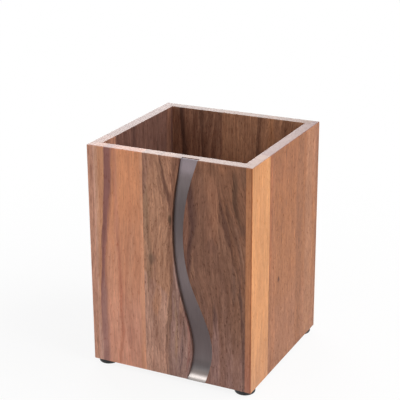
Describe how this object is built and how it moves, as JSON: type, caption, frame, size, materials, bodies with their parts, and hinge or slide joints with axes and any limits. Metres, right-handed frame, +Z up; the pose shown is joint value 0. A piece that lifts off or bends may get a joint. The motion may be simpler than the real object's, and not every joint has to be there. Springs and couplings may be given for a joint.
{
  "type": "cutlery caddy",
  "caption": "Square open-topped wooden caddy for standing cutlery, with a wavy satin steel strip sunk into its front and small rubber feet.",
  "frame": {"origin": "on the surface it stands on, under the middle of the caddy", "axes": "+X to the right and +Y to the back as seen facing the steel strip, +Z up out of the open top"},
  "size_m": [0.127, 0.1226, 0.17],
  "materials": {
    "wood_front_left": "satin oiled hardwood, straight vertical grain with fine open pores, warm orange brown with one darker streak",
    "wood_front_right": "satin oiled hardwood, straight vertical grain with fine open pores, dark brown with a cathedral figure",
    "wood_right_front": "satin oiled hardwood, straight vertical grain with fine open pores, light orange brown",
    "wood_right_rear": "satin oiled hardwood, straight vertical grain with fine open pores, reddish brown with small flecks",
    "wood_back_right": "satin oiled hardwood, straight vertical grain with fine open pores, mid brown",
    "wood_back_left": "satin oiled hardwood, straight vertical grain with fine open pores, dark brown",
    "wood_left_rear": "satin oiled hardwood, straight vertical grain with fine open pores, dark purple brown",
    "wood_left_front": "satin oiled hardwood, straight vertical grain with fine open pores, warm brown",
    "wood_floor_front": "satin oiled hardwood, grain running left to right, mid brown",
    "wood_floor_rear": "satin oiled hardwood, grain running left to right, darker brown",
    "strip_steel": "satin stainless steel, fine lengthways brushing",
    "foot_rubber": "matt black moulded rubber",
    "screw_steel": "bright zinc-plated steel"
  },
  "bodies": {
    "root": {"front_stave_left": "wood_front_left", "front_stave_right": "wood_front_right", "right_stave_front": "wood_right_front", "right_stave_rear": "wood_right_rear", "back_stave_right": "wood_back_right", "back_stave_left": "wood_back_left", "left_stave_rear": "wood_left_rear", "left_stave_front": "wood_left_front", "floor_board_front": "wood_floor_front", "floor_board_rear": "wood_floor_rear", "wave_strip": "strip_steel", "foot_front_left": "foot_rubber", "foot_front_right": "foot_rubber", "foot_rear_left": "foot_rubber", "foot_rear_right": "foot_rubber", "foot_screws": "screw_steel"}
  },
  "joints": []
}
